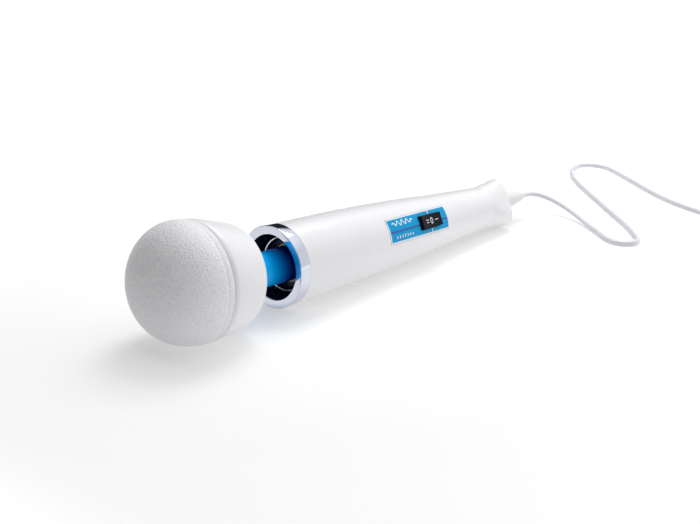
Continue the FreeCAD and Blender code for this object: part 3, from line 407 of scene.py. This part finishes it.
def neck_frame(station):
    """Middle and axis of the neck at a station: straight at both ends, bent between."""
    if station <= NECK_MIDDLE - NECK_HALF_BEND:
        return HEAD @ Vector((station, 0, 0)), HEAD_TILT
    if station >= NECK_MIDDLE + NECK_HALF_BEND:
        return AXLE @ Vector((station, 0, 0)), HANDLE_TILT
    t = (station - NECK_MIDDLE + NECK_HALF_BEND) / (2 * NECK_HALF_BEND)
    first = HEAD @ Vector((NECK_MIDDLE - NECK_HALF_BEND, 0, 0))
    last = AXLE @ Vector((NECK_MIDDLE + NECK_HALF_BEND, 0, 0))
    middle = first * (1 - t) ** 2 + PIVOT * MM * 2 * t * (1 - t) + last * t * t
    return middle, HEAD_TILT + (HANDLE_TILT - HEAD_TILT) * t


def hose(stations, radius, bore, segments=128):
    """Tube along the neck's bent axis; radius is a function of the station."""
    built = bmesh.new()
    rings = []
    outline = [(station, radius(station)) for station in stations]
    outline += [(station, bore) for station in reversed(stations)]
    for station, size in outline:
        middle, tilt = neck_frame(station)
        turn = Matrix.Rotation(tilt, 3, "Y")
        rings.append([
            built.verts.new(middle + turn @ Vector((0, math.cos(angle), math.sin(angle)))
                            * size * MM)
            for angle in (2 * math.pi * side / segments for side in range(segments))
        ])
    for first, second in zip(rings, rings[1:] + rings[:1]):
        for side in range(segments):
            following = (side + 1) % segments
            built.faces.new((first[side], second[side], second[following], first[following]))
    return from_bmesh(built)


SLEEVE_RADIUS, SLEEVE_BORE = 9.7, 8.4
SLEEVE_START, SLEEVE_END = 57.7, 98.2
SLIMMING, SLIM_START, SLIM_LENGTH = 0.25, 60.5, 34
SLEEVE_STEPS = 24


def sleeve_radius(station):
    """Plain hose that is a hair slimmer in the middle."""
    share = min(max((station - SLIM_START) / SLIM_LENGTH, 0), 1)
    return SLEEVE_RADIUS - SLIMMING * math.sin(math.pi * share) ** 2


def sleeve(name, start, end):
    """One half of the sleeve."""
    stations = [start + (end - start) * step / SLEEVE_STEPS for step in range(SLEEVE_STEPS + 1)]
    return piece(name, hose(stations, sleeve_radius, SLEEVE_BORE), "blue_sleeve")


sleeve_front = sleeve("neck_sleeve_front", SLEEVE_START, NECK_MIDDLE)
sleeve_rear = sleeve("neck_sleeve_rear", NECK_MIDDLE, SLEEVE_END)
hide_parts("neck_sleeve")
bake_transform(sleeve_front)
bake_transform(sleeve_rear)


# ---------------------------------------------------------------- chrome ring and collar

ring_trim = piece("ring_trim", lathe(softened([
    (85.35, 18.0, 0.4), (84.85, 22.75, 0.4), (92.0, 22.8, 0.25), (92.0, 20.4), (97.0, 20.4),
    (97.0, 18.5), (93.8, 17.5, 0.3)]), HANDLE), "chrome_trim")
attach(ring_trim, "handle")
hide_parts("chrome_ring")

ring_liner = piece("ring_liner", lathe(softened([
    (85.7, 17.95, 0.1), (93.7, 17.47), (93.7, 17.2), (85.95, 17.7, 0.1)]), HANDLE), "dark_collar")
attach(ring_liner, "handle")

collar_trim = piece("collar_trim", lathe(softened([
    (94.6, 13.9, 0.25), (94.2, 14.5, 0.3), (97.05, 18.3), (98.3, 18.3), (98.3, 10.9),
    (96.6, 10.9, 0.3), (96.6, 13.4, 0.8)]), HANDLE), "dark_collar")
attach(collar_trim, "handle")
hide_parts("inner_collar")

collar_lip = piece("collar_lip", lathe(softened([
    (94.1, 14.15, 0.25), (93.7, 14.75, 0.3), (95.25, 16.35, 0.15), (95.5, 16.3), (94.5, 14.1)]),
    HANDLE), "chrome_trim")
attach(collar_lip, "handle")


# ---------------------------------------------------------------- print on the label and the switch

BELLY_START, BELLY_END, BELLY_SWEEP = Vector((92.1, 22.7)), Vector((230.0, 17.5)), 1750.0
LABEL_PROUD = 0.1


def belly_radius(station):
    """Radius of the handle's surface between the ring and the end of its belly."""
    centre = arc_centre(BELLY_START, BELLY_END, BELLY_SWEEP)
    return centre.y + math.sqrt(BELLY_SWEEP ** 2 - (station - centre.x) ** 2)


def on_label(station, across, height):
    radius = belly_radius(station) + LABEL_PROUD + height
    return HANDLE @ Vector((station, across, math.sqrt(radius ** 2 - across ** 2)))


ROCKER_DISH = 60.0
ROCKER_HALF = 9.0
SWITCH_MIDDLE = 202.2
ROCKER_TOP = 22.0


def rocker_height(station):
    """Height of the rocker's hollow top over the handle's axis."""
    centre = ROCKER_TOP + math.sqrt(ROCKER_DISH ** 2 - ROCKER_HALF ** 2)
    return centre - math.sqrt(ROCKER_DISH ** 2 - (station - SWITCH_MIDDLE) ** 2)


def on_rocker(station, across, height):
    return HANDLE @ Vector((station, across, rocker_height(station) + height))


def ribbon(built, surface, path, width, thickness, closed=False):
    """Raised line of print along a path of (station, across) points on a surface."""
    points = [Vector(point) for point in path]
    count = len(points)
    rows = []
    for index, point in enumerate(points):
        before = points[index - 1] if closed or index else point
        after = points[(index + 1) % count] if closed or index < count - 1 else point
        first, second = (point - before), (after - point)
        if first.length < 1e-6:
            first = second
        if second.length < 1e-6:
            second = first
        along = (first.normalized() + second.normalized()).normalized()
        side = Vector((-along.y, along.x))
        stretch = 1 / max(side.dot(Vector((-first.y, first.x)).normalized()), 0.5)
        left, right = point + side * width / 2 * stretch, point - side * width / 2 * stretch
        rows.append([built.verts.new(surface(*spot, lift)) for spot, lift in (
            (left, -0.02), (left, thickness), (right, thickness), (right, -0.02))])
    pairs = list(zip(rows, rows[1:])) + ([(rows[-1], rows[0])] if closed else [])
    for first, second in pairs:
        for corner in range(4):
            following = (corner + 1) % 4
            built.faces.new((first[corner], second[corner], second[following], first[following]))
    if not closed:
        built.faces.new(rows[0])
        built.faces.new(rows[-1])


def divided(start, end, step=0.8):
    """Points of a straight line, close enough together to lie on a curved surface."""
    start, end = Vector(start), Vector(end)
    count = max(2, math.ceil((end - start).length / step))
    return [start.lerp(end, index / count) for index in range(count + 1)]


def print_piece(name, surface, lines, look, body, thickness=0.05):
    """One piece of print made of several lines (path, width, closed)."""
    built = bmesh.new()
    for path, width, closed in lines:
        ribbon(built, surface, path, width, thickness, closed)
    made = piece(name, from_bmesh(built), "label_film" if body == "handle" else "switch_black",
                 look, smooth=False)
    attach(made, body)
    return made


LABEL = (161.1, 222.9, 7.4)
RIM = 0.75
STRIPE, STRIPE_WIDTH = -0.9, 1.25


def label_rim():
    """Closed path round the label, half the rim's width inside its edge."""
    left, right, half = LABEL[0] + RIM / 2, LABEL[1] - RIM / 2, LABEL[2] - RIM / 2
    corners = [(left, -half), (right, -half), (right, half), (left, half)]
    path = []
    for start, end in zip(corners, corners[1:] + corners[:1]):
        path += divided(start, end)[:-1]
    return path


WAVE_START, WAVE_LENGTH, WAVE_STEPS = 165.6, 20.5, 90
WAVE_MIDDLE, WAVE_HEIGHT, WAVE_PERIODS = 3.9, 1.55, 4.5
WAVE_WIDTH, MARK_WIDTH = 0.62, 0.75
FIRST_MARK, MARK_PITCH, MARK_COUNT = 167.5, 2.6, 7
TICK_STATION = 203.9


def wave_point(share):
    swing = math.sin(2 * math.pi * share * WAVE_PERIODS) * math.sin(math.pi * share) ** 0.5
    return WAVE_START + WAVE_LENGTH * share, WAVE_MIDDLE + WAVE_HEIGHT * swing


def level_mark(number):
    """Short line of a row of level marks, the middle one the longest."""
    station = FIRST_MARK + MARK_PITCH * number
    top = -3.1 - 0.16 * abs(number - MARK_COUNT // 2)
    return divided((station, -5.0), (station, top)), MARK_WIDTH, False


wave = [wave_point(step / WAVE_STEPS) for step in range(WAVE_STEPS + 1)]
ticks = [(divided((TICK_STATION, side * 4.7), (TICK_STATION, side * 7.0)), MARK_WIDTH, False)
         for side in (1, -1)]
print_piece("label_print", on_label, [(label_rim(), RIM, True), (wave, WAVE_WIDTH, False)]
            + ticks + [level_mark(number) for number in range(MARK_COUNT)],
            "print_white", "handle")
print_piece("label_stripe", on_label, [
    (divided((161.9, STRIPE), (191.3, STRIPE)), STRIPE_WIDTH, False),
    (divided((213.1, STRIPE), (222.1, STRIPE)), STRIPE_WIDTH, False),
], "print_navy", "handle", 0.03)

ZERO_HALF_LENGTH, ZERO_HALF_WIDTH = 0.95, 1.75
SYMBOL_LINE = 0.5
zero = [(SWITCH_MIDDLE + ZERO_HALF_LENGTH * math.cos(math.radians(angle)),
         ZERO_HALF_WIDTH * math.sin(math.radians(angle))) for angle in range(0, 360, 12)]
print_piece("switch_print", on_rocker, [
    (zero, SYMBOL_LINE, True),
    (divided((197.0, 0.75), (199.2, 0.75)), SYMBOL_LINE, False),
    (divided((197.0, -0.75), (199.2, -0.75)), SYMBOL_LINE, False),
    (divided((205.6, 0.0), (208.4, 0.0)), SYMBOL_LINE, False),
], "print_white", "rocker", 0.04)


# ---------------------------------------------------------------- strain relief

RELIEF_END = 342.0
relief = piece("relief_cone", lathe(softened([
    (300.7, 0.01), (300.7, 5.2, 0.3), (303.5, 5.2, 0.3), (303.6, 4.4), (307.2, 4.4),
    (307.2, 6.4, 0.5), (321.0, 5.8, 8), (335.5, 3.6, 1.2), (336.6, 2.5, 0.5), (RELIEF_END, 1.95, 0.3),
    (RELIEF_END, 0.01)]),
    HANDLE, 96, closed=False), "relief_vinyl")
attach(relief, "handle")
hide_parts("strain_relief")


# ---------------------------------------------------------------- lead

CORD_DIAMETER = 0.0034
CORD_ROUTE = [
    (181.1, 0.0, 15.1), (189.8, -7.8, 12.0), (190.6, -21.0, 7.8), (184.0, -36.0, 4.4),
    (173.0, -51.0, 2.4), (161.0, -66.0, 1.7), (149.6, -78.6, 1.7), (148.4, -89.4, 1.7),
    (155.6, -95.2, 1.7), (163.9, -93.2, 1.7), (172.8, -86.4, 1.7), (189.2, -73.4, 1.7),
    (214.2, -49.0, 1.7), (239.2, -25.5, 1.7), (264.2, -1.5, 1.9), (285.0, 18.0, 2.2),
    (304.0, 32.5, 2.4), (320.0, 41.5, 2.4), (334.0, 45.5, 2.2), (345.0, 47.0, 2.0),
    (353.0, 41.0, 1.8), (354.5, 30.5, 1.7), (349.5, 20.0, 1.7), (336.0, 4.0, 1.7),
    (318.0, -16.5, 1.7), (297.5, -39.0, 1.7), (279.0, -62.0, 1.7), (265.0, -85.5, 1.7),
    (255.5, -109.0, 1.7),
]
COIL_CENTRE = (272.7, -131.0)
COIL_RADIUS = 17.4
COIL_COLUMNS = 3
TURNS = 11.25
STEPS = 16
SHIFT_STEPS = 3
PLUG_LEAD = [(284.0, -151.8, 11.6), (295.0, -151.2, 9.4), (306.0, -150.3, 7.0),
             (317.0, -150.0, 6.5), (328.0, -150.0, 6.5)]


def coil_points():
    """Control points of a neat coil: each layer shifts by a cord's width at the start of a turn,
    and climbs by one at the end of its last turn."""
    pitch = CORD_DIAMETER / MM
    bulge = 1 / math.cos(math.pi / STEPS)
    points = []
    for step in range(int(TURNS * STEPS) + 1):
        turn, within = divmod(step, STEPS)
        layer, place = divmod(turn, COIL_COLUMNS)
        column = place if layer % 2 == 0 else COIL_COLUMNS - 1 - place
        offset = column
        if place and within < SHIFT_STEPS:
            earlier = column - 1 if layer % 2 == 0 else column + 1
            offset = earlier + (column - earlier) * within / SHIFT_STEPS
        climb = 0.0
        if place == COIL_COLUMNS - 1 and within > STEPS - SHIFT_STEPS:
            climb = (within - STEPS + SHIFT_STEPS) / SHIFT_STEPS
        radius = (COIL_RADIUS + pitch * ((COIL_COLUMNS - 1) / 2 - offset)) * bulge
        angle = math.pi + 2 * math.pi * step / STEPS
        points.append((COIL_CENTRE[0] + radius * math.cos(angle),
                       COIL_CENTRE[1] + radius * math.sin(angle),
                       pitch * (0.5 + layer + climb)))
    return points


exit_point = HANDLE @ Vector((RELIEF_END, 0, 0))
route = [exit_point] + [Vector(point) * MM for point in CORD_ROUTE + coil_points() + PLUG_LEAD]
curve = bpy.data.curves.new("power_lead", "CURVE")
curve.dimensions = "3D"
curve.bevel_depth = CORD_DIAMETER / 2
curve.bevel_resolution = 6
curve.resolution_u = 10
curve.use_fill_caps = True
spline = curve.splines.new("NURBS")
spline.points.add(len(route) - 1)
for spot, point in zip(spline.points, route):
    spot.co = (*point, 1)
spline.order_u = 3
spline.use_endpoint_u = True
curve.materials.append(MATERIALS["cord_vinyl"])
lead = bpy.data.objects.new("power_lead", curve)
bpy.context.scene.collection.objects.link(lead)
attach(lead, "handle")
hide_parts("power_cord", "cord_coil", "plug_lead")


# ---------------------------------------------------------------- stage, light and camera

FLOOR_REACH = 14.0
GLOW_NEAR, GLOW_FAR = 0.38, 0.55
NEAR_REACH, FAR_REACH = 0.2, 0.45
floor_shade = Shade("floor", (0.6, 0.6, 0.6), 0.7, Emission_Color=(1, 1, 1, 1),
                    Specular_IOR_Level=0.0)
floor_shade.colour(floor_shade.mix(floor_shade.noise(6), (0.59, 0.59, 0.59), (0.61, 0.61, 0.61)))
# The floor glows less round the wand, so that its soft shadows show.
away = floor_shade.node("VectorMath", **{"#0": floor_shade.place})
away.operation = "LENGTH"
floor_shade.feed(floor_shade.shader.inputs["Emission Strength"],
                 floor_shade.spread(away.outputs["Value"], NEAR_REACH, FAR_REACH, GLOW_NEAR, GLOW_FAR))
floor_mesh = bpy.data.meshes.new("floor")
floor_mesh.from_pydata([(across * FLOOR_REACH, along * FLOOR_REACH, 0) for across, along in (
    (-1, -1), (1, -1), (1, 1), (-1, 1))], [], [(0, 1, 2, 3)])
floor_mesh.materials.append(floor_shade.material)
floor = bpy.data.objects.new("floor", floor_mesh)
bpy.context.scene.collection.objects.link(floor)


def studio():
    """Soft light from above, the right and the front; a dim side on the left, a dark one behind."""
    dim, pale = (0.015, 0.02, 0.035), (0.86, 0.86, 0.88)
    dark, overhead = (0.02, 0.02, 0.03), (1.3, 1.3, 1.3)
    world = bpy.data.worlds.new("studio")
    world.use_nodes = True
    nodes = Nodes(world.node_tree, "Generated")
    right, back, up = nodes.axes()
    side = nodes.mix(nodes.spread(right, -0.6, 0.35, 0, 1), dim, pale)
    low_back = nodes.math("MULTIPLY", nodes.spread(back, 0.25, 0.45, 0, 1),
                          nodes.spread(up, 0.62, 0.5, 0, 1))
    walls = nodes.mix(low_back, side, dark)
    light = nodes.mix(nodes.spread(up, 0.55, 0.8, 0, 1), walls, overhead)
    nodes.feed(world.node_tree.nodes["Background"].inputs["Color"], light)
    return world


scene = bpy.context.scene
scene.view_settings.view_transform = "Standard"
scene.world = studio()


def aimed(name, data, place, target):
    """Light or camera at a place, looking at a target."""
    thing = bpy.data.objects.new(name, data)
    thing.location = place
    thing.rotation_mode = "QUATERNION"
    thing.rotation_quaternion = (Vector(target) - Vector(place)).to_track_quat("-Z", "Y")
    scene.collection.objects.link(thing)
    return thing


softbox = bpy.data.lights.new("key", "AREA")
softbox.size = 0.5
softbox.energy = 5
aimed("key", softbox, (0.45, 0.2, 0.95), (0, 0, 0))

# A black card left of the head takes light off that side, and isn't seen itself.
FLAG_X, FLAG_SPAN, FLAG_RISE = -0.3, (-0.6, 0.4), (0.05, 0.5)
flag_mesh = bpy.data.meshes.new("flag")
flag_mesh.from_pydata([(FLAG_X, FLAG_SPAN[side], FLAG_RISE[top]) for side, top in (
    (0, 0), (1, 0), (1, 1), (0, 1))], [], [(0, 1, 2, 3)])
flag_mesh.materials.append(Shade("flag", (0.01, 0.01, 0.01), 0.9).material)
flag = bpy.data.objects.new("flag", flag_mesh)
flag.visible_camera = flag.visible_glossy = flag.visible_shadow = False
scene.collection.objects.link(flag)

camera_data = bpy.data.cameras.new("camera")
camera_data.sensor_width = 36
camera_data.lens = 48.86
scene.camera = aimed("camera", camera_data, (-0.42026, -0.34743, 0.18688),
                     (-0.0398, -0.0155, 0.020))
